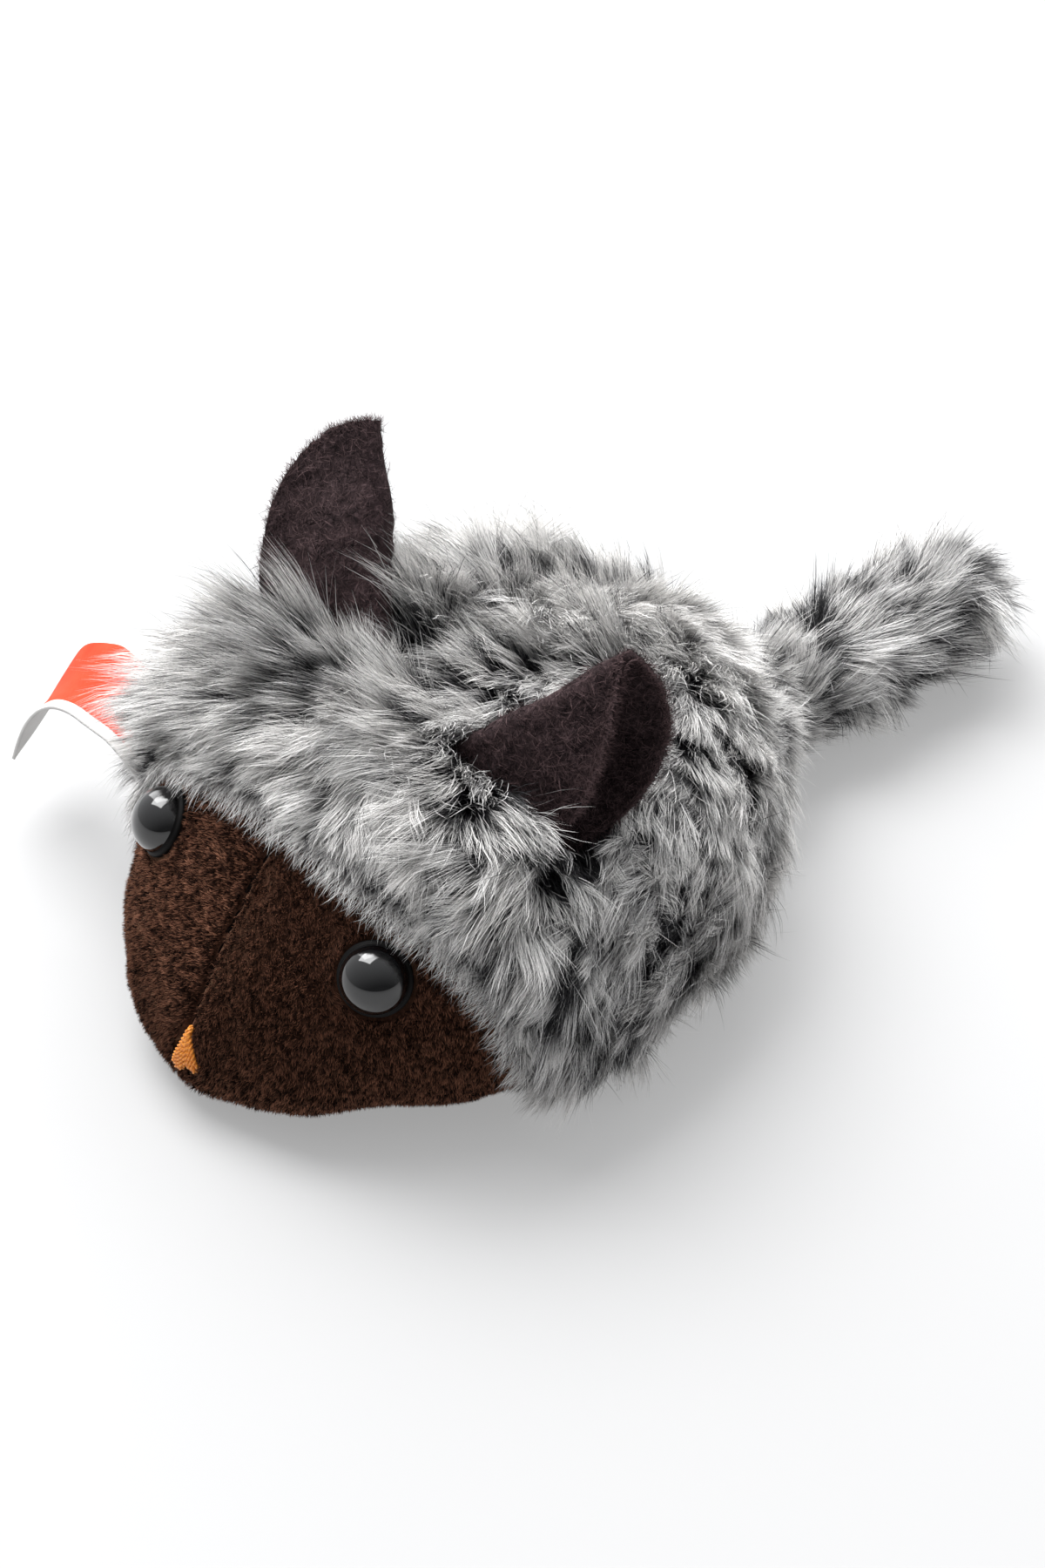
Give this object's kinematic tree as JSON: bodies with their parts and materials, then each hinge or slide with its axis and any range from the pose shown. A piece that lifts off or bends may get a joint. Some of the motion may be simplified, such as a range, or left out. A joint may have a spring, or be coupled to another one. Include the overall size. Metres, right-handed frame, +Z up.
{
  "type": "plush catnip mouse cat toy",
  "caption": "Stuffed plush mouse with a suede face, long grey pile body and tail, folded felt ears, domed eyes, a stitched nose and a catnip sachet inside.",
  "frame": {"origin": "on the flat underside of the belly, on the centre plane, under the seam between the ears", "axes": "+Z up, nose towards -Y, tail towards +Y, the mouse's left towards +X"},
  "size_m": [0.0988, 0.1341, 0.0653],
  "materials": {
    "suede": "short-nap microsuede, matt",
    "fur": "long-pile faux fur, black roots and silver tips",
    "felt": "wool felt",
    "eye": "polished black",
    "washer": "natural moulded",
    "orange_thread": "satin stitch",
    "ribbon": "coated satin ribbon with a white border",
    "stuffing": "polyester fibre fill",
    "sachet_cloth": "non-woven cloth",
    "catnip": "dried, crumbled leaf",
    "dark_thread": "sewing thread"
  },
  "bodies": {
    "body": {"face_panel_left": "suede", "face_panel_right": "suede", "belly_panel": "suede", "head_fur_left": "fur", "head_fur_right": "fur", "back_fur_left": "fur", "back_fur_right": "fur", "eye_left": "eye", "eye_right": "eye", "eye_washer_left": "washer", "eye_washer_right": "washer", "nose_stitching": "orange_thread", "stuffing_front": "stuffing", "stuffing_rear": "stuffing", "sachet_front_sheet": "sachet_cloth", "sachet_back_sheet": "sachet_cloth", "catnip_filling": "catnip"},
    "ear_left_body": {"ear_left": "felt"},
    "ear_right_body": {"ear_right": "felt"},
    "label_body": {"side_label": "ribbon"},
    "tail_root": {"tail_thread": "dark_thread"},
    "tail": {"tail_fur_sleeve": "fur", "tail_stuffing": "stuffing"}
  },
  "joints": [
    {"name": "tail_yaw", "type": "hinge", "parent": "body", "child": "tail_root", "pos_m": [0, 0.0544, 0.0098], "axis": [0, 0, 1], "range_deg": [-40, 40], "stiffness_Nm_per_rad": 0.03},
    {"name": "tail_pitch", "type": "hinge", "parent": "tail_root", "child": "tail", "pos_m": [0, 0.0544, 0.0098], "axis": [1, 0, 0], "range_deg": [-12, 50], "stiffness_Nm_per_rad": 0.03},
    {"name": "ear_left_bend", "type": "hinge", "parent": "body", "child": "ear_left_body", "pos_m": [0.01147, -0.00919, 0.04157], "axis": [0.8588, 0.1798, -0.4798], "range_deg": [-18, 18], "stiffness_Nm_per_rad": 0.004},
    {"name": "ear_right_bend", "type": "hinge", "parent": "body", "child": "ear_right_body", "pos_m": [-0.00342, -0.00534, 0.04485], "axis": [0.9321, 0.1291, 0.3383], "range_deg": [-18, 18], "stiffness_Nm_per_rad": 0.004},
    {"name": "label_flex", "type": "hinge", "parent": "body", "child": "label_body", "pos_m": [-0.0306, -0.0218, 0.0202], "axis": [-0.3286, 0.9288, 0.1715], "range_deg": [-12, 30], "stiffness_Nm_per_rad": 0.002}
  ]
}
